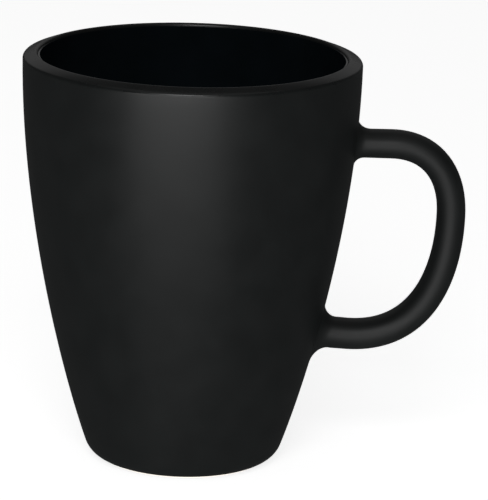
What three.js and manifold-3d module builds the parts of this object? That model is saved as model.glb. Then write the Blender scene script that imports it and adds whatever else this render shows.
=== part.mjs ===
// A stoneware mug: a cup with a tapering wall, a loop handle luted on with slip, a matte glaze
// outside, a glossy glaze inside and a bare foot ring. Millimetres, +Z up.
// The origin lies on the table, under the middle of the overall length, handle included.
import * as THREE from 'three';
import { mergeVertices } from 'three/addons/utils/BufferGeometryUtils.js';
import Module from 'manifold-3d';

const wasm = await Module();
wasm.setup();
const degrees = THREE.MathUtils.degToRad;

// Cup
const mug_height = 110.4;
const rim_diameter = 90;
const base_radius = 26.6; // where the wall meets the rounding of the foot
const wall_thickness = 4.1;
const floor_thickness = 5;
const inner_corner_radius = 12;
const foot_lean = degrees(19.6); // the wall's lean from upright, at the foot
const rim_lean = degrees(0.3); // and at the rim
const foot_fullness = 0.165; // how far the foot's lean carries up the wall, as a share of it
const rim_fullness = 0.42; // how far the rim's lean carries down the wall

// Rim and foot
const rim_bevel = degrees(20); // slope of the rim's face, which rises inwards
const rim_outer_rounding = 1;
const rim_inner_rounding = 0.8;
const foot_rounding = 6;
const foot_ring_width = 4;
const foot_recess = 2; // height of the hollow under the floor

// Handle
const handle_projection = 28.95; // how far the loop stands out past the rim
const upper_run_thickness = 7.4; // in the plane of the loop, which tapers from the lower root
const lower_run_thickness = 8.1;
const handle_width = 11; // across the loop
const handle_drop = 22.95; // the upper run's centre below the top of the rim
const handle_span = 51.6; // from the upper run's centre down to the lower root's
const handle_belly_drop = 18.6; // the furthest point of the loop below the upper run
const upper_run_length = 9.4; // straight stretch of the upper run outside the wall
const lower_run_slope = degrees(13.8); // the lower run falls away from the wall
const lower_turn_fullness = [0.743, 0.635]; // shares of the lower turn's length and height
const upper_turn_fullness = [0.581, 0.653]; // shares of the upper turn's height and length
const section_squareness = 2.3; // 2 is an ellipse
const upper_root_fillet = 2.8;
const lower_root_fillet = 4.5;

// Layers
const glaze_thickness = 0.4;
const layer_gap = 0.2; // between a glaze or slip layer and the clay under it
const slip_bed = 0.8; // slip between the handle's end and the cup
const bare_foot_height = 0.5; // the glaze stops this far above the table

// Fineness of the facets
const turn_segments = 40;
const wall_steps = 8;
const fine_arc_steps = 3;
const broad_arc_steps = 4;
const loop_steps = 32;
const section_points = 16;
const root_embedding = 6; // how far a tool solid runs on inside the wall
const fillet_sink = 0.15; // a fillet crosses the handle's surface this deep, for a clean edge

const rim_radius = rim_diameter / 2;
const mouth_radius = rim_radius - wall_thickness;
const bedding = glaze_thickness + layer_gap; // from the finished surface to the clay

// ---- Outline of the cup, in radius and height ----

const quarter_turn = Math.PI / 2;
const bevel_normal = quarter_turn - rim_bevel;
const foot_centre = new THREE.Vector2(base_radius - foot_rounding * Math.cos(foot_lean), foot_rounding);
const inner_rim_centre = new THREE.Vector2(
  mouth_radius + rim_inner_rounding,
  mug_height - rim_inner_rounding,
);
// The rim's bevelled face touches both roundings, which sets the height of the outer one.
const outer_rim_radius = rim_radius - rim_outer_rounding;
const bevel_run = outer_rim_radius - inner_rim_centre.x;
const rounding_step = rim_outer_rounding - rim_inner_rounding;
const bevel_fall = (rounding_step + bevel_run * Math.cos(bevel_normal)) / Math.sin(bevel_normal);
const outer_rim_centre = new THREE.Vector2(outer_rim_radius, inner_rim_centre.y - bevel_fall);
const foot_ring_inner_radius = foot_centre.x - foot_ring_width;
const recess_centre = new THREE.Vector2(foot_ring_inner_radius - foot_recess, 0);
const floor_top = foot_recess + floor_thickness;

const wall_curve = outer_wall_curve();
const inner_corner_share = find_inner_corner();
const inner_corner_centre = wall_point(inner_corner_share, wall_thickness + inner_corner_radius);

function outer_wall_curve() {
  const low = around(foot_centre, foot_rounding, -foot_lean);
  const high = new THREE.Vector2(rim_radius, outer_rim_centre.y);
  const rise = high.y - low.y;
  const low_pull = rise * foot_fullness;
  const high_pull = rise * rim_fullness;
  return new THREE.CubicBezierCurve(
    low,
    new THREE.Vector2(Math.sin(foot_lean), Math.cos(foot_lean)).multiplyScalar(low_pull).add(low),
    new THREE.Vector2(Math.sin(rim_lean), Math.cos(rim_lean)).multiplyScalar(-high_pull).add(high),
    high,
  );
}

// A point at an angle on a circle, with the angle measured from outwards towards up.
function around(centre, radius, angle) {
  return new THREE.Vector2(Math.cos(angle), Math.sin(angle)).multiplyScalar(radius).add(centre);
}

function arc(centre, radius, from, to, steps) {
  return Array.from({ length: steps + 1 }, (_, i) =>
    around(centre, radius, THREE.MathUtils.lerp(from, to, i / steps)));
}

// A point of the wall at a share of the way up it, moved in from the outer face by a depth.
function wall_point(share, depth) {
  const along = wall_curve.getTangent(share);
  return wall_curve.getPoint(share).add(new THREE.Vector2(-along.y, along.x).multiplyScalar(depth));
}

// The share at which a rising function passes a wanted value.
function solve_share(rising, wanted) {
  let [low, high] = [0, 1];
  for (let i = 0; i < 50; i++) {
    const middle = (low + high) / 2;
    [low, high] = rising(middle) < wanted ? [middle, high] : [low, middle];
  }
  return (low + high) / 2;
}

// Where the rounding between wall and floor leaves the inner wall.
function find_inner_corner() {
  const centre_depth = wall_thickness + inner_corner_radius;
  return solve_share((share) => wall_point(share, centre_depth).y, floor_top + inner_corner_radius);
}

function wall_share_at(height) {
  return solve_share((share) => wall_curve.getPoint(share).y, height);
}

function wall_between(from, to, depth) {
  return Array.from({ length: wall_steps + 1 }, (_, i) =>
    wall_point(THREE.MathUtils.lerp(from, to, i / wall_steps), depth));
}

// From the glaze line at the foot, up the outside and over the rim to the mouth.
// The inset is the depth under the finished surface.
function outside(inset) {
  const glaze_line = -Math.asin((foot_rounding - bare_foot_height) / foot_rounding);
  return [
    ...arc(foot_centre, foot_rounding - inset, glaze_line, -foot_lean, broad_arc_steps),
    ...wall_between(0, 1, inset).slice(1),
    ...arc(outer_rim_centre, rim_outer_rounding - inset, 0, bevel_normal, fine_arc_steps).slice(1),
    ...arc(inner_rim_centre, rim_inner_rounding - inset, bevel_normal, Math.PI, fine_arc_steps),
  ];
}

// Down the inner wall and across the floor to the axis.
function inside(inset) {
  const corner_radius = inner_corner_radius + inset;
  const corner_normal = wall_curve.getTangent(inner_corner_share).angle() - quarter_turn;
  return [
    ...wall_between(1, inner_corner_share, wall_thickness - inset),
    ...arc(inner_corner_centre, corner_radius, corner_normal, -quarter_turn, broad_arc_steps).slice(1),
    new THREE.Vector2(0, floor_top - inset),
  ];
}

// From the axis across the hollow under the floor and down to the glaze line on the foot ring.
function recess(inset) {
  const glaze_line = Math.asin(bare_foot_height / foot_recess);
  return [
    new THREE.Vector2(0, foot_recess + inset),
    ...arc(recess_centre, foot_recess + inset, quarter_turn, glaze_line, fine_arc_steps),
  ];
}

// ---- Solids ----

function turned(outline) {
  return new THREE.LatheGeometry(outline, turn_segments).rotateX(quarter_turn);
}

function closed(outline) {
  return [...outline, outline[0].clone()];
}

function to_solid(geometry) {
  geometry.deleteAttribute('normal');
  geometry.deleteAttribute('uv');
  const merged = mergeVertices(geometry);
  const corners = merged.index.array;
  const whole = [];
  for (let i = 0; i < corners.length; i += 3) {
    const [a, b, c] = corners.slice(i, i + 3);
    if (a !== b && b !== c && c !== a) whole.push(a, b, c);
  }
  return new wasm.Manifold(new wasm.Mesh({
    numProp: 3,
    vertProperties: merged.attributes.position.array,
    triVerts: Uint32Array.from(whole),
  }));
}

function to_geometry(solid) {
  const mesh = solid.getMesh();
  const geometry = new THREE.BufferGeometry();
  geometry.setAttribute('position', new THREE.BufferAttribute(mesh.vertProperties, 3));
  geometry.setIndex(new THREE.BufferAttribute(mesh.triVerts, 1));
  geometry.computeVertexNormals();
  return geometry;
}

// The cup as if it were filled to the brim, to cut what is luted to its outside.
function filled_cup(inset) {
  const side = outside(inset);
  const below = new THREE.Vector2(0, side[0].y);
  const above = new THREE.Vector2(0, side[side.length - 1].y);
  return to_solid(turned([below, ...side, above]));
}

function cup_body() {
  const bare_ring = [
    new THREE.Vector2(foot_ring_inner_radius, 0),
    new THREE.Vector2(foot_centre.x, 0),
  ];
  const recess_line = recess(0).pop();
  const outer_line = outside(0)[0];
  return turned([
    ...recess(bedding),
    recess_line,
    ...bare_ring,
    outer_line,
    ...outside(bedding),
    ...inside(bedding),
  ]);
}

function inner_glaze() {
  const top = mug_height - rim_inner_rounding - layer_gap;
  return turned([
    ...inside(glaze_thickness).reverse(),
    new THREE.Vector2(mouth_radius + glaze_thickness, top),
    new THREE.Vector2(mouth_radius, top),
    ...inside(0),
  ]);
}

function base_glaze() {
  return turned([...recess(0), ...recess(glaze_thickness).reverse()]);
}

// ---- The loop and its roots ----

const loop_x = rim_radius + handle_projection - (upper_run_thickness + lower_run_thickness) / 4;
const upper_height = mug_height - handle_drop;
const roots = {
  upper: root_frame(upper_height, 0, upper_run_thickness, upper_root_fillet),
  lower: root_frame(upper_height - handle_span, -lower_run_slope, lower_run_thickness, lower_root_fillet),
};

// Where a run of the handle meets the wall, the way it leaves the wall, and the wall's own slope.
function root_frame(height, slope, thickness, fillet) {
  const share = wall_share_at(height);
  const on_wall = wall_curve.getPoint(share);
  const up_wall = wall_curve.getTangent(share);
  return {
    thickness,
    fillet,
    point: new THREE.Vector3(on_wall.x, 0, height),
    away: new THREE.Vector3(Math.cos(slope), 0, Math.sin(slope)),
    up: new THREE.Vector3(-Math.sin(slope), 0, Math.cos(slope)),
    wall_shear: Math.tan(quarter_turn - up_wall.angle() + slope),
  };
}

function from_root(root, distance) {
  return root.away.clone().multiplyScalar(distance).add(root.point);
}

function loop_path() {
  const { upper, lower } = roots;
  const belly = new THREE.Vector3(loop_x, 0, upper_height - handle_belly_drop);
  const run_end = from_root(upper, upper_run_length);
  const lower_length = belly.x - lower.point.x;
  const lower_height = belly.z - lower.point.z;
  const upper_length = belly.x - run_end.x;
  const path = new THREE.CurvePath();
  path.add(new THREE.LineCurve3(from_root(lower, -root_embedding), lower.point));
  path.add(new THREE.CubicBezierCurve3(
    lower.point,
    from_root(lower, lower_length * lower_turn_fullness[0]),
    belly.clone().setZ(belly.z - lower_height * lower_turn_fullness[1]),
    belly,
  ));
  path.add(new THREE.CubicBezierCurve3(
    belly,
    belly.clone().setZ(belly.z + handle_belly_drop * upper_turn_fullness[0]),
    run_end.clone().setX(run_end.x + upper_length * upper_turn_fullness[1]),
    run_end,
  ));
  path.add(new THREE.LineCurve3(run_end, from_root(upper, -root_embedding)));
  return path;
}

// The handle's section, a squared ellipse: across the loop, then in its plane.
function loop_section(thickness, inset) {
  const power = 2 / section_squareness;
  const bulge = (value) => Math.sign(value) * Math.abs(value) ** power;
  return new THREE.Shape(Array.from({ length: section_points }, (_, i) => {
    const angle = (i / section_points) * 2 * Math.PI;
    return new THREE.Vector2(
      bulge(Math.cos(angle)) * (handle_width / 2 - inset),
      bulge(Math.sin(angle)) * (thickness / 2 - inset),
    );
  }));
}

// The section is extruded straight, and then each ring is thinned and set across the path.
function loop_solid(inset) {
  const path = loop_path();
  const buried = root_embedding / path.getLength();
  const full = lower_run_thickness / 2 - inset;
  const slim = upper_run_thickness / 2 - inset;
  const loop = new THREE.ExtrudeGeometry(loop_section(lower_run_thickness, inset), {
    depth: loop_steps,
    steps: loop_steps,
    bevelEnabled: false,
  });
  const position = loop.getAttribute('position');
  const across = new THREE.Vector3(0, 1, 0);
  for (let i = 0; i < position.count; i++) {
    const share = Math.round(position.getZ(i)) / loop_steps;
    const taper = THREE.MathUtils.clamp((share - buried) / (1 - 2 * buried), 0, 1);
    const inward = path.getTangentAt(share).cross(across);
    const place = path.getPointAt(share);
    place.addScaledVector(inward, (position.getY(i) / full) * THREE.MathUtils.lerp(full, slim, taper));
    position.setXYZ(i, place.x, position.getX(i), place.z);
  }
  return to_solid(loop);
}

// A collar with a hollow rounding that blends a run of the handle into the wall. It is the
// handle's section, grown ring by ring towards the wall and bowed to the wall's curve.
function root_collar(root, inset) {
  const { thickness, fillet } = root;
  const toe_growth = fillet - fillet_sink;
  const rounding_centre = new THREE.Vector2(toe_growth + inset, fillet);
  const toe_angle = -quarter_turn - Math.asin(inset / (fillet + inset));
  const rings = [
    new THREE.Vector2(toe_growth, -root_embedding),
    ...arc(rounding_centre, fillet + inset, toe_angle, -Math.PI, broad_arc_steps),
  ];
  const steps = rings.length - 1;
  const collar = new THREE.ExtrudeGeometry(loop_section(thickness, inset), {
    depth: steps,
    steps,
    bevelEnabled: false,
  });
  const position = collar.getAttribute('position');
  for (let i = 0; i < position.count; i++) {
    const flat = new THREE.Vector2(position.getX(i), position.getY(i));
    const { x: growth, y: distance } = rings[Math.round(position.getZ(i))];
    flat.setLength(flat.length() + growth);
    const bow = flat.x ** 2 / (2 * root.point.x);
    position.setXYZ(i, flat.x, flat.y, distance + flat.y * root.wall_shear - bow);
  }
  const across = new THREE.Vector3(0, 1, 0);
  const placing = new THREE.Matrix4().makeBasis(across, root.up, root.away).setPosition(root.point);
  return to_solid(collar.applyMatrix4(placing));
}

function loop_with_roots(inset) {
  return loop_solid(inset)
    .add(root_collar(roots.upper, inset))
    .add(root_collar(roots.lower, inset));
}

function outer_glaze() {
  const skin = [...outside(0), ...outside(glaze_thickness).reverse()];
  return to_geometry(to_solid(turned(closed(skin)))
    .add(loop_with_roots(0).subtract(filled_cup(glaze_thickness / 2)))
    .subtract(loop_with_roots(glaze_thickness)));
}

const bed_surface = glaze_thickness - slip_bed; // the handle's end face, as a depth in the cup

function handle() {
  return to_geometry(loop_solid(bedding).subtract(filled_cup(bed_surface)));
}

function slip_joint(root) {
  const handle_room = loop_solid(glaze_thickness).subtract(filled_cup(bed_surface + layer_gap));
  return to_geometry(root_collar(root, bedding)
    .subtract(filled_cup(glaze_thickness))
    .subtract(handle_room));
}

// ---- The mug ----

const stoneware = new THREE.MeshStandardMaterial({ color: 0xcbbfa9, roughness: 0.9, metalness: 0 });
const slip = new THREE.MeshStandardMaterial({ color: 0xb9ab93, roughness: 0.95, metalness: 0 });
const matte_glaze = new THREE.MeshStandardMaterial({ color: 0x1b1b1b, roughness: 0.45, metalness: 0 });
const glossy_glaze = new THREE.MeshStandardMaterial({ color: 0x0a0a0a, roughness: 0.08, metalness: 0 });

const mug = new THREE.Group();
mug.position.x = -handle_projection / 2;

function add_piece(name, geometry, material) {
  const piece = new THREE.Mesh(geometry, material);
  piece.name = name;
  mug.add(piece);
}

add_piece('cup_body', cup_body(), stoneware);
add_piece('handle', handle(), stoneware);
add_piece('upper_slip_joint', slip_joint(roots.upper), slip);
add_piece('lower_slip_joint', slip_joint(roots.lower), slip);
add_piece('outer_glaze', outer_glaze(), matte_glaze);
add_piece('inner_glaze', inner_glaze(), glossy_glaze);
add_piece('base_glaze', base_glaze(), matte_glaze);

export default mug;
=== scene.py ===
import math

import bpy
from mathutils import Matrix, Vector


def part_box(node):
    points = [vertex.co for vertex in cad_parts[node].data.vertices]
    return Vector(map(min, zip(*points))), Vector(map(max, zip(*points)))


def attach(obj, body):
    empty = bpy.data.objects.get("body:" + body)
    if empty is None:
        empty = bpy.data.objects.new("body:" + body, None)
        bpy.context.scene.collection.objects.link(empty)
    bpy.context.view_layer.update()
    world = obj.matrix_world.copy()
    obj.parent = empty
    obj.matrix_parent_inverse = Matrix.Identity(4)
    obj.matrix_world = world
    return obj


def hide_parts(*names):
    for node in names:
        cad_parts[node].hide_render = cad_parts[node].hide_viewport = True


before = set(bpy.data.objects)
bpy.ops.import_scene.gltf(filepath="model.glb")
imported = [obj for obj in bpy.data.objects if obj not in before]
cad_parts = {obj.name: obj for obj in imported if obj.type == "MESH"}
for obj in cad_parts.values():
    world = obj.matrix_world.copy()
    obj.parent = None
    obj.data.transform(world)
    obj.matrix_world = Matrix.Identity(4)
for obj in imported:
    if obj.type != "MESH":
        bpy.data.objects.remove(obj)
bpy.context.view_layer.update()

MM = 0.001
UP = Vector((0, 0, 1))

# ---- Sizes ----

# The overall sizes come from the CAD model's glaze layers, whose outer faces are the finished mug.
glaze_low, glaze_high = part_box("outer_glaze")
rim_radius = glaze_high.y
mug_height = glaze_high.z
axis_x = glaze_low.x + rim_radius
handle_reach = glaze_high.x - axis_x
bare_foot_height = 0.15 * MM              # the glaze stops just out of sight under the foot
glaze_thickness = 0.4 * MM
mouth_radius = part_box("inner_glaze")[1].y - glaze_thickness
wall_thickness = rim_radius - mouth_radius
floor_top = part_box("inner_glaze")[0].z + glaze_thickness
foot_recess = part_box("base_glaze")[1].z - glaze_thickness
layer_gap = 0.2 * MM                      # between the glaze and the clay under it
bedding = glaze_thickness + layer_gap     # from the finished surface to the clay

# The cup's outline
base_radius = 26.6 * MM                   # where the wall meets the rounding of the foot
foot_rounding = 6 * MM
foot_ring_width = 4 * MM
inner_corner_radius = 12 * MM
floor_dish = 0.3 * MM                     # how far the middle of the floor inside has sunk
foot_lean = math.radians(19.6)            # the wall's lean from upright, at the foot
rim_lean = math.radians(0.3)
foot_fullness = 0.165                     # how far the foot's lean carries up the wall
rim_fullness = 0.42                       # how far the rim's lean carries down the wall
rim_bevel = math.radians(20)
rim_outer_rounding = 1 * MM
rim_inner_rounding = 0.8 * MM

# The handle's loop
upper_run_thickness = 7.4 * MM            # in the plane of the loop
lower_run_thickness = 8.1 * MM
handle_width = 11 * MM                    # across the loop
upper_run_z = mug_height - 22.95 * MM
lower_root_z = upper_run_z - 51.6 * MM
belly_z = upper_run_z - 18.6 * MM
upper_run_length = 9.4 * MM
lower_run_slope = math.radians(13.8)
lower_turn_fullness = (0.743, 0.635)      # shares of the lower turn's length and height
upper_turn_fullness = (0.581, 0.653)      # shares of the upper turn's height and length
section_squareness = 0.0226               # share of a triple wave that squares up an ellipse

# Fineness of the meshes
TURN_STEPS = 192
WALL_STEPS = 36
ARC_STEPS = 8
LOOP_STEPS = 72
SECTION_POINTS = 48
ROOT_RINGS = 10
TURN_SAMPLES = 200                        # points tried along each turn of the loop to space its rings
RUN_SAMPLES = 50                          # and along its straight run

ROOT_SINK = 0.3 * MM                      # how far the handle's coat runs on into the wall's

QUARTER = math.pi / 2
EDGE_ANGLE = math.radians(40)             # a sharper edge than this stays sharp

# The camera stands in front of the cup's axis, looks down and a little to the right, and is tipped
CAMERA_DISTANCE = 944.65 * MM
CAMERA_HEIGHT = 307.08 * MM
CAMERA_YAW = math.radians(0.91)
CAMERA_PITCH = math.radians(14.82)
CAMERA_ROLL = math.radians(1.75)
CAMERA_LENS = 262.55                      # on a 36 mm sensor

# The light, as brightness where 1 is pure white
FLOOR_GLOW = 0.82
ROOM_LIGHT = 0.045
SOFTBOX_DISTANCE = 1.1
FLOOR_SIZE = 6
FLOOR_GAP = 0.05 * MM                     # keeps the floor clear of the foot's flat face


# ---- The cup's outline, as (radius, height) ----

def around(centre, radius, angle):
    """A point at an angle on a circle, with the angle measured from outwards towards up."""
    return Vector((centre.x + radius * math.cos(angle), centre.y + radius * math.sin(angle)))


def arc(centre, radius, start, end, steps=ARC_STEPS):
    return [around(centre, radius, start + (end - start) * i / steps) for i in range(steps + 1)]


def bezier(points, share):
    """A point on a curve with four control points, and the way it runs there."""
    a, b, c, d = points
    left = 1 - share
    point = a * left ** 3 + b * 3 * left ** 2 * share + c * 3 * left * share ** 2 + d * share ** 3
    along = (b - a) * left ** 2 + (c - b) * 2 * left * share + (d - c) * share ** 2
    return point, along.normalized()


bevel_normal = QUARTER - rim_bevel
foot_centre = Vector((base_radius - foot_rounding * math.cos(foot_lean), foot_rounding))
inner_rim_centre = Vector((mouth_radius + rim_inner_rounding, mug_height - rim_inner_rounding))
outer_rim_r = rim_radius - rim_outer_rounding
bevel_run = outer_rim_r - inner_rim_centre.x
bevel_fall = ((rim_outer_rounding - rim_inner_rounding + bevel_run * math.cos(bevel_normal))
              / math.sin(bevel_normal))
outer_rim_centre = Vector((outer_rim_r, inner_rim_centre.y - bevel_fall))
foot_inner_radius = foot_centre.x - foot_ring_width
recess_centre = Vector((foot_inner_radius - foot_recess, 0))


def wall_controls():
    """The wall is one curve from the rounding of the foot to the rounding of the rim."""
    low = around(foot_centre, foot_rounding, -foot_lean)
    high = Vector((rim_radius, outer_rim_centre.y))
    rise = high.y - low.y
    low_way = Vector((math.sin(foot_lean), math.cos(foot_lean)))
    high_way = Vector((math.sin(rim_lean), math.cos(rim_lean)))
    return low, low + low_way * rise * foot_fullness, high - high_way * rise * rim_fullness, high


wall = wall_controls()


def wall_point(share, depth):
    """A point a share of the way up the wall, moved in from the outer face by a depth."""
    point, along = bezier(wall, share)
    return point + Vector((-along.y, along.x)) * depth


def solve_share(rising, wanted):
    """The share from 0 to 1 at which a rising function reaches the wanted value, by halving."""
    low, high = 0.0, 1.0
    for _ in range(40):
        middle = (low + high) / 2
        if rising(middle) < wanted:
            low = middle
        else:
            high = middle
    return (low + high) / 2


def wall_radius_at(height):
    return bezier(wall, solve_share(lambda share: bezier(wall, share)[0].y, height))[0].x


corner_depth = wall_thickness + inner_corner_radius
corner_share = solve_share(lambda share: wall_point(share, corner_depth).y,
                           floor_top + inner_corner_radius)
corner_centre = wall_point(corner_share, corner_depth)


def wall_between(start, end, depth):
    return [wall_point(start + (end - start) * i / WALL_STEPS, depth) for i in range(WALL_STEPS + 1)]


def outside(inset=0.0):
    """From the glaze line at the foot, up the outside and over the rim to the mouth."""
    glaze_line = -math.asin((foot_rounding - bare_foot_height) / foot_rounding)
    return [
        *arc(foot_centre, foot_rounding - inset, glaze_line, -foot_lean),
        *wall_between(0, 1, inset)[1:],
        *arc(outer_rim_centre, rim_outer_rounding - inset, 0, bevel_normal)[1:],
        *arc(inner_rim_centre, rim_inner_rounding - inset, bevel_normal, math.pi),
    ]


def inside(inset=0.0):
    """From the mouth, down the inner wall and across the dished floor to the axis."""
    _, along = bezier(wall, corner_share)
    corner_normal = math.atan2(along.y, along.x) - QUARTER
    corner = arc(corner_centre, inner_corner_radius + inset, corner_normal, -QUARTER)
    shares = [1 - i / ARC_STEPS for i in range(1, ARC_STEPS + 1)]
    dish = [floor_dish * (1 + math.cos(math.pi * share)) / 2 for share in shares]
    floor = [Vector((corner[-1].x * share, floor_top - inset - fall))
             for share, fall in zip(shares, dish)]
    mouth = Vector((mouth_radius + inset, inner_rim_centre.y))
    return [mouth, *wall_between(1, corner_share, wall_thickness - inset), *corner[1:], *floor]


def recess(inset=0.0):
    """From the axis across the hollow under the floor and down to the glaze line on the foot."""
    glaze_line = math.asin(bare_foot_height / foot_recess)
    rounding = arc(recess_centre, foot_recess + inset, QUARTER, glaze_line)
    roof = [Vector((rounding[0].x * i / ARC_STEPS, foot_recess + inset)) for i in range(ARC_STEPS)]
    return [*roof, *rounding]


# ---- Making pieces ----

def deselect_all():
    bpy.ops.object.select_all(action="DESELECT")


def start_piece(name, add_primitive, **settings):
    """Adds a primitive, names it and opens it in edit mode with all of it selected."""
    deselect_all()
    add_primitive(**settings)
    piece = bpy.context.active_object
    piece.name = piece.data.name = name
    bpy.ops.object.mode_set(mode="EDIT")
    bpy.ops.mesh.select_all(action="SELECT")
    return piece


def finish_mesh(piece):
    """Closes the seams, turns the faces out and puts the place into the mesh."""
    bpy.ops.mesh.select_all(action="SELECT")
    bpy.ops.mesh.remove_doubles(threshold=1e-6)
    bpy.ops.mesh.normals_make_consistent(inside=False)
    bpy.ops.object.mode_set(mode="OBJECT")
    bpy.ops.object.transform_apply(location=True, rotation=True, scale=True)


def smooth(piece):
    """Shades the piece smooth, all but its sharp edges."""
    deselect_all()
    piece.select_set(True)
    bpy.context.view_layer.objects.active = piece
    bpy.ops.object.shade_smooth_by_angle(angle=EDGE_ANGLE)


def thicken(piece):
    """Gives a skin the glaze's thickness, inwards from the finished surface."""
    modifier = piece.modifiers.new("Thickness", "SOLIDIFY")
    modifier.thickness = glaze_thickness
    modifier.offset = -1
    bpy.context.view_layer.objects.active = piece
    bpy.ops.object.modifier_apply(modifier=modifier.name)
    smooth(piece)


def turn(name, outline):
    """Draws an outline point by point beside the cup's axis and spins it round, as on a wheel."""
    first = outline[0]
    piece = start_piece(name, bpy.ops.mesh.primitive_plane_add, size=MM,
                        location=(axis_x + first.x, 0, first.y))
    bpy.ops.mesh.merge(type="CENTER")
    for here, there in zip(outline, outline[1:]):
        step = (there.x - here.x, 0, there.y - here.y)
        bpy.ops.mesh.extrude_vertices_move(TRANSFORM_OT_translate={"value": step})
    bpy.ops.mesh.select_all(action="SELECT")
    bpy.ops.mesh.spin(steps=TURN_STEPS, angle=2 * math.pi, center=(axis_x, 0, 0), axis=UP)
    finish_mesh(piece)
    return piece


# ---- The handle's loop ----

class Root:
    """Where a run of the handle leaves the wall. The roundings above, below and beside it
    each have a length along the handle and a reach up the wall."""

    def __init__(self, height, slope, thickness, above, below, beside):
        self.thickness = thickness
        self.point = Vector((axis_x + wall_radius_at(height), 0, height))
        self.away = Vector((math.cos(slope), 0, math.sin(slope)))
        self.up = Vector((-math.sin(slope), 0, math.cos(slope)))
        self.above, self.below, self.beside = above, below, beside

    def rounding(self, across, upward):
        """Length and reach of the rounding in a direction round the section."""
        tall = self.above if upward > 0 else self.below
        share = upward ** 2
        return [t * share + s * (1 - share) for t, s in zip(tall, self.beside)]

    def run(self, distance):
        return self.point + self.away * distance

    def place(self, flat):
        """A point of the section, across and up, as a point beside the root."""
        return self.point + Vector((0, flat.x, 0)) + self.up * flat.y


upper_root = Root(upper_run_z, 0, upper_run_thickness, above=(4.5 * MM, 2.75 * MM),
                  below=(2.2 * MM, 2.1 * MM), beside=(2.2 * MM, 2.2 * MM))
lower_root = Root(lower_root_z, -lower_run_slope, lower_run_thickness, above=(3.7 * MM, 3.7 * MM),
                  below=(4.8 * MM, 6.1 * MM), beside=(3 * MM, 3 * MM))


def loop_curves():
    """The lower turn runs from the lower root to the belly, and the upper from there to the run."""
    belly_thickness = (upper_run_thickness + lower_run_thickness) / 2
    belly = Vector((axis_x + handle_reach - belly_thickness / 2, 0, belly_z))
    run_end = upper_root.run(upper_run_length)
    lower_length = belly.x - lower_root.point.x
    lower_height = belly.z - lower_root.point.z
    lower_turn = (lower_root.point, lower_root.run(lower_length * lower_turn_fullness[0]),
                  belly - UP * lower_height * lower_turn_fullness[1], belly)
    upper_turn = (belly, belly + UP * (run_end.z - belly.z) * upper_turn_fullness[0],
                  run_end + upper_root.away * (belly.x - run_end.x) * upper_turn_fullness[1], run_end)
    return lower_turn, upper_turn


def loop_stations():
    """Evenly spaced points and directions along the loop, from the lower root to the upper."""
    lower_turn, upper_turn = loop_curves()
    fine = [bezier(lower_turn, i / TURN_SAMPLES) for i in range(TURN_SAMPLES)]
    fine += [bezier(upper_turn, i / TURN_SAMPLES) for i in range(TURN_SAMPLES + 1)]
    run_end, way = fine[-1]
    fine += [(run_end + way * upper_run_length * i / RUN_SAMPLES, way)
             for i in range(1, RUN_SAMPLES + 1)]
    lengths = [0.0]
    for (a, _), (b, _) in zip(fine, fine[1:]):
        lengths.append(lengths[-1] + (b - a).length)
    stations, at = [], 0
    for i in range(LOOP_STEPS + 1):
        wanted = lengths[-1] * i / LOOP_STEPS
        while at < len(fine) - 2 and lengths[at + 1] < wanted:
            at += 1
        share = (wanted - lengths[at]) / (lengths[at + 1] - lengths[at])
        stations.append((fine[at][0].lerp(fine[at + 1][0], share),
                         fine[at][1].lerp(fine[at + 1][1], share).normalized()))
    return stations


def section_point(angle, thickness):
    """A point of the handle's section, a squared ellipse: across the loop, then upwards."""
    across = math.cos(angle) - section_squareness * math.cos(3 * angle)
    upward = math.sin(angle) + section_squareness * math.sin(3 * angle)
    return Vector((across * handle_width, upward * thickness)) / 2 / (1 - section_squareness)


def section_points(thickness):
    return [section_point(2 * math.pi * i / SECTION_POINTS, thickness) for i in range(SECTION_POINTS)]


def onto_wall(point, away):
    """Slides a point along a direction until it lies on the cup's wall."""
    for _ in range(12):
        radius = math.hypot(point.x - axis_x, point.y)
        point = point + away * (wall_radius_at(point.z) - radius)
    return point


def root_ring(root, inner_side, share):
    """One ring of the rounding: share 0 is its toe on the wall, and 1 its end on the handle.
    The loop's inner side is above the lower root (1) and below the upper one (-1)."""
    ring = []
    for flat in section_points(root.thickness):
        flat.y *= inner_side
        outward = flat.normalized()
        length, reach = root.rounding(outward.x, outward.y)
        grown = flat + outward * reach * (1 - math.sin(share * QUARTER))
        toe = root.place(flat + outward * reach)
        bow = (onto_wall(toe, root.away) - toe).dot(root.away)
        along = length * (1 - math.cos(share * QUARTER))
        ring.append(root.place(grown) + root.away * (along + bow * (1 - share)))
    return ring


def loop_rings():
    """The handle's rings, from inside the wall at the lower root to inside it at the upper."""
    straight = 1.2 * max(lower_root.below[0], upper_root.above[0])
    lower = [root_ring(lower_root, 1, i / ROOT_RINGS) for i in range(ROOT_RINGS + 1)]
    upper = [root_ring(upper_root, -1, 1 - i / ROOT_RINGS) for i in range(ROOT_RINGS + 1)]
    middle = []
    for i, (centre, way) in enumerate(loop_stations()):
        if min((centre - lower_root.point).length, (centre - upper_root.point).length) < straight:
            continue
        inward = Vector((-way.z, 0, way.x))
        thickness = lower_run_thickness + (upper_run_thickness - lower_run_thickness) * i / LOOP_STEPS
        middle.append([centre + Vector((0, flat.x, 0)) + inward * flat.y
                       for flat in section_points(thickness)])
    sunk_lower = [point - lower_root.away * ROOT_SINK for point in lower[0]]
    sunk_upper = [point - upper_root.away * ROOT_SINK for point in upper[-1]]
    return [sunk_lower, *lower, *middle, *upper, sunk_upper]


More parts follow.
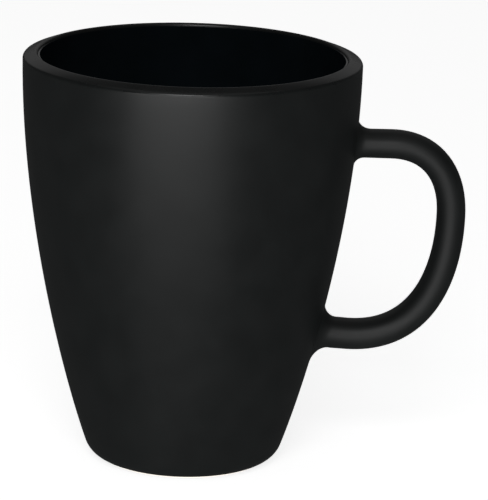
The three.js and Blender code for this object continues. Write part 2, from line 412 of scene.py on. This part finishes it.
def make_handle_coat():
    """A circle extruded round the loop, each ring then set to the section and the roundings."""
    rings = loop_rings()
    piece = start_piece("handle_coat", bpy.ops.mesh.primitive_circle_add, vertices=SECTION_POINTS,
                        radius=lower_run_thickness / 2, location=lower_root.point)
    for _ in rings[1:]:
        bpy.ops.mesh.extrude_region_move(TRANSFORM_OT_translate={"value": (MM, 0, 0)})
    bpy.ops.object.mode_set(mode="OBJECT")
    bpy.ops.object.transform_apply(location=True)
    for vertex, place in zip(piece.data.vertices, (point for ring in rings for point in ring)):
        vertex.co = place
    bpy.ops.object.mode_set(mode="EDIT")
    finish_mesh(piece)
    return piece


# ---- Materials ----

# The colour sockets of a Mix node, whose names are shared with its other sockets
COLOUR_A, COLOUR_B, MIXED_COLOUR = 6, 7, 2


def from_hex(code):
    """An sRGB hex colour as linear values."""
    channels = [int(code[i:i + 2], 16) / 255 for i in (0, 2, 4)]
    return [c / 12.92 if c <= 0.04045 else ((c + 0.055) / 1.055) ** 2.4 for c in channels] + [1.0]


def add_node(material, kind, links=(), **settings):
    """Adds a node and sets its properties or inputs. Each link is an output and the name or
    number of the input that it goes to."""
    node = material.node_tree.nodes.new("ShaderNode" + kind)
    for key, value in settings.items():
        if hasattr(node, key):
            setattr(node, key, value)
        else:
            node.inputs[key.replace("_", " ")].default_value = value
    for output, socket in links:
        material.node_tree.links.new(output, node.inputs[socket])
    return node


def new_material(name):
    material = bpy.data.materials.new(name)
    material.use_nodes = True
    material.node_tree.nodes.clear()
    return material


def ramp(material, factor, stops):
    """Runs a factor through (position, colour) stops."""
    node = add_node(material, "ValToRGB", [(factor, "Fac")])
    elements = node.color_ramp.elements
    while len(elements) < len(stops):
        elements.new(0.5)
    for element, (position, colour) in zip(elements, stops):
        element.position = position
        element.color = colour
    return node.outputs["Color"]


def grey(value):
    return (value, value, value, 1)


def glaze_material(name, colour, pale, roughness, rough_spread, grain_mm, grain_height,
                   flow_mm, flow_height, rim_polish=0.0):
    """A black glaze, dipped and fired on stoneware: a glassy coat of IOR 1.5. Its colour drifts
    a little with its thickness, a fine grain breaks up the gloss, and a longer wave shows where
    it ran. Above the edge where the wall turns into the rim it has run thin and smooth, which
    takes rim_polish off its roughness and draws a bright line along the edge."""
    material = new_material(name)
    place = add_node(material, "TexCoord").outputs["Object"]
    cloud = add_node(material, "TexNoise", [(place, "Vector")], Scale=1 / (9 * MM), Detail=4.0)
    fine = add_node(material, "TexNoise", [(place, "Vector")], Scale=1 / (grain_mm * MM), Detail=3.0)
    flow = add_node(material, "TexNoise", [(place, "Vector")], Scale=1 / (flow_mm * MM), Detail=1.0)
    tint = ramp(material, cloud.outputs["Fac"], [(0.35, from_hex(colour)), (0.7, from_hex(pale))])
    rough = ramp(material, cloud.outputs["Fac"],
                 [(0.3, grey(roughness - rough_spread)), (0.7, grey(roughness + rough_spread))])
    height = add_node(material, "SeparateXYZ", [(place, "Vector")]).outputs["Z"]
    polish = add_node(material, "MapRange", [(height, "Value")], To_Max=rim_polish,
                      From_Min=outer_rim_centre.y - 0.2 * MM,
                      From_Max=outer_rim_centre.y + 0.2 * MM).outputs["Result"]
    smoothed = add_node(material, "Math", [(rough, 0), (polish, 1)], operation="SUBTRACT")
    waves = add_node(material, "Bump", [(flow.outputs["Fac"], "Height")], Strength=1.0,
                     Distance=flow_height * MM)
    grain = add_node(material, "Bump",
                     [(fine.outputs["Fac"], "Height"), (waves.outputs["Normal"], "Normal")],
                     Strength=1.0, Distance=grain_height * MM)
    shader = add_node(material, "BsdfPrincipled",
                      [(tint, "Base Color"), (smoothed.outputs["Value"], "Roughness"),
                       (grain.outputs["Normal"], "Normal")],
                      IOR=1.5)
    add_node(material, "OutputMaterial", [(shader.outputs["BSDF"], "Surface")])
    return material


def stoneware_material(name):
    """Bare fired stoneware: buff clay, dry and dull, with dark specks of iron 1.6 mm apart."""
    material = new_material(name)
    place = add_node(material, "TexCoord").outputs["Object"]
    cloud = add_node(material, "TexNoise", [(place, "Vector")], Scale=1 / (4 * MM), Detail=5.0)
    speck = add_node(material, "TexVoronoi", [(place, "Vector")], Scale=1 / (1.6 * MM))
    tint = ramp(material, cloud.outputs["Fac"], [(0.3, from_hex("B3A288")), (0.7, from_hex("C9BA9F"))])
    spots = ramp(material, speck.outputs["Distance"], [(0.08, from_hex("6E5A44")), (0.14, grey(1.0))])
    speckled = add_node(material, "Mix", [(tint, COLOUR_A), (spots, COLOUR_B)], Factor=1.0,
                        data_type="RGBA", blend_type="MULTIPLY").outputs[MIXED_COLOUR]
    grain = add_node(material, "Bump", [(cloud.outputs["Fac"], "Height")], Strength=1.0,
                     Distance=0.05 * MM)
    shader = add_node(material, "BsdfPrincipled",
                      [(speckled, "Base Color"), (grain.outputs["Normal"], "Normal")],
                      Roughness=0.85)
    add_node(material, "OutputMaterial", [(shader.outputs["BSDF"], "Surface")])
    return material


# A satin matte coat: one broad soft highlight down the wall, with no reflected shapes in it
matte_glaze = glaze_material("matte_black_glaze", "121414", "151717", 0.41, 0.02, 0.35, 0.004,
                             12, 0.02, rim_polish=0.13)
# The same glaze lies thinner and drier on the handle, so its highlight is softer still
handle_glaze = glaze_material("matte_black_glaze_on_the_handle", "121414", "151717", 0.52, 0.02,
                              0.35, 0.004, 12, 0.02)
# Inside, a shiny coat that looks nearly black, because it mirrors the dark of the cup
glossy_glaze = glaze_material("glossy_black_glaze", "101619", "13191D", 0.14, 0.01, 0.8, 0.0005, 14, 0.02)
bare_stoneware = stoneware_material("bare_stoneware")


def dress(piece, material, slot, *replaced):
    """Gives a piece its material and its place in the frame, and hides the CAD solids that it stands for.
    """
    piece.data.materials.clear()
    piece.data.materials.append(material)
    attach(piece, "root")
    if replaced:
        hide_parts(*replaced)


# ---- Camera ----

def place_camera():
    camera = bpy.data.cameras.new("camera")
    camera.sensor_width = 36
    camera.lens = CAMERA_LENS
    camera_object = bpy.data.objects.new("camera", camera)
    bpy.context.scene.collection.objects.link(camera_object)
    forward = Vector((math.sin(CAMERA_YAW) * math.cos(CAMERA_PITCH),
                      math.cos(CAMERA_YAW) * math.cos(CAMERA_PITCH), -math.sin(CAMERA_PITCH)))
    level_right = Vector((math.cos(CAMERA_YAW), -math.sin(CAMERA_YAW), 0))
    level_up = level_right.cross(forward)
    right = level_right * math.cos(CAMERA_ROLL) + level_up * math.sin(CAMERA_ROLL)
    up = level_up * math.cos(CAMERA_ROLL) - level_right * math.sin(CAMERA_ROLL)
    turned = Matrix((right, up, -forward)).transposed().to_4x4()
    camera_object.matrix_world = Matrix.Translation((axis_x, -CAMERA_DISTANCE, CAMERA_HEIGHT)) @ turned
    bpy.context.scene.camera = camera_object


place_camera()


# ---- Stage and light ----

def make_floor():
    """A sheet of white acrylic lit through from below, as on a light table. It stays out of the
    reflections in the glaze, as with black cards round the mug, and lets low light through."""
    deselect_all()
    bpy.ops.mesh.primitive_plane_add(size=FLOOR_SIZE, location=(0, 0, -FLOOR_GAP))
    floor = bpy.context.active_object
    floor.name = "floor"
    white = new_material("lit_white_acrylic")
    shader = add_node(white, "BsdfPrincipled", Base_Color=from_hex("F4F4F4"), Roughness=0.8,
                      Emission_Color=from_hex("FFFFFF"), Emission_Strength=FLOOR_GLOW)
    add_node(white, "OutputMaterial", [(shader.outputs["BSDF"], "Surface")])
    floor.data.materials.append(white)
    floor.visible_glossy = False
    floor.visible_shadow = False


def add_softbox(name, azimuth, elevation, width, height, brightness):
    """A rectangular light that faces the mug. Azimuth 0 is in front, and 90 is on the right."""
    light = bpy.data.lights.new(name, "AREA")
    light.shape = "RECTANGLE"
    light.size, light.size_y = width, height
    light.energy = brightness * math.pi * width * height
    target = Vector((axis_x, 0, mug_height / 2))
    a, e = math.radians(azimuth), math.radians(elevation)
    way = Vector((math.sin(a) * math.cos(e), -math.cos(a) * math.cos(e), math.sin(e)))
    softbox = bpy.data.objects.new(name, light)
    softbox.location = target + way * SOFTBOX_DISTANCE
    softbox.rotation_euler = (-way).to_track_quat("-Z", "Y").to_euler()
    softbox.visible_camera = False
    bpy.context.scene.collection.objects.link(softbox)


def light_world(strength):
    """The faint even light of the room."""
    world = bpy.data.worlds.new("studio")
    world.use_nodes = True
    world.node_tree.nodes["Background"].inputs["Color"].default_value = from_hex("FFFFFF")
    world.node_tree.nodes["Background"].inputs["Strength"].default_value = strength
    bpy.context.scene.world = world


make_floor()
light_world(ROOM_LIGHT)
# Two low strips draw the highlight on the wall, and the box above them the one on the handle and rim.
add_softbox("front_strip", -10, -2, 1.2, 0.24, 3.5)
add_softbox("low_strip", -8, -22, 1.3, 0.3, 0.5)
add_softbox("upper_softbox", -6, 34, 0.5, 0.5, 4.0)
add_softbox("back_softbox", 180, 24, 1.2, 0.5, 0.15)
add_softbox("overhead_softbox", 0, 88, 1.2, 1.2, 0.18)
bpy.context.scene.view_settings.view_transform = "Standard"

# ---- The mug ----

cup_coat = turn("cup_coat", outside())
thicken(cup_coat)
dress(cup_coat, matte_glaze, "matte_black_glaze", "outer_glaze")

handle_coat = make_handle_coat()
thicken(handle_coat)
dress(handle_coat, handle_glaze, "matte_black_glaze", "outer_glaze")

inner_coat = turn("inner_coat", inside())
thicken(inner_coat)
dress(inner_coat, glossy_glaze, "glossy_black_glaze", "inner_glaze")

base_coat = turn("base_coat", recess())
thicken(base_coat)
dress(base_coat, matte_glaze, "matte_black_glaze", "base_glaze")

clay_outline = [*recess(bedding), recess()[-1], Vector((foot_inner_radius, 0)), Vector((foot_centre.x, 0)),
                outside()[0], *outside(bedding)[:-1], *inside(bedding)]
cup_clay = turn("cup_clay", clay_outline)
smooth(cup_clay)
dress(cup_clay, bare_stoneware, "fired_stoneware", "cup_body")

# The clay of the handle and the slip at its roots lie under the glaze, as the CAD model has them.
for name in ("handle", "upper_slip_joint", "lower_slip_joint"):
    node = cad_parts[name]
    node.data.materials.clear()
    node.data.materials.append(bare_stoneware)
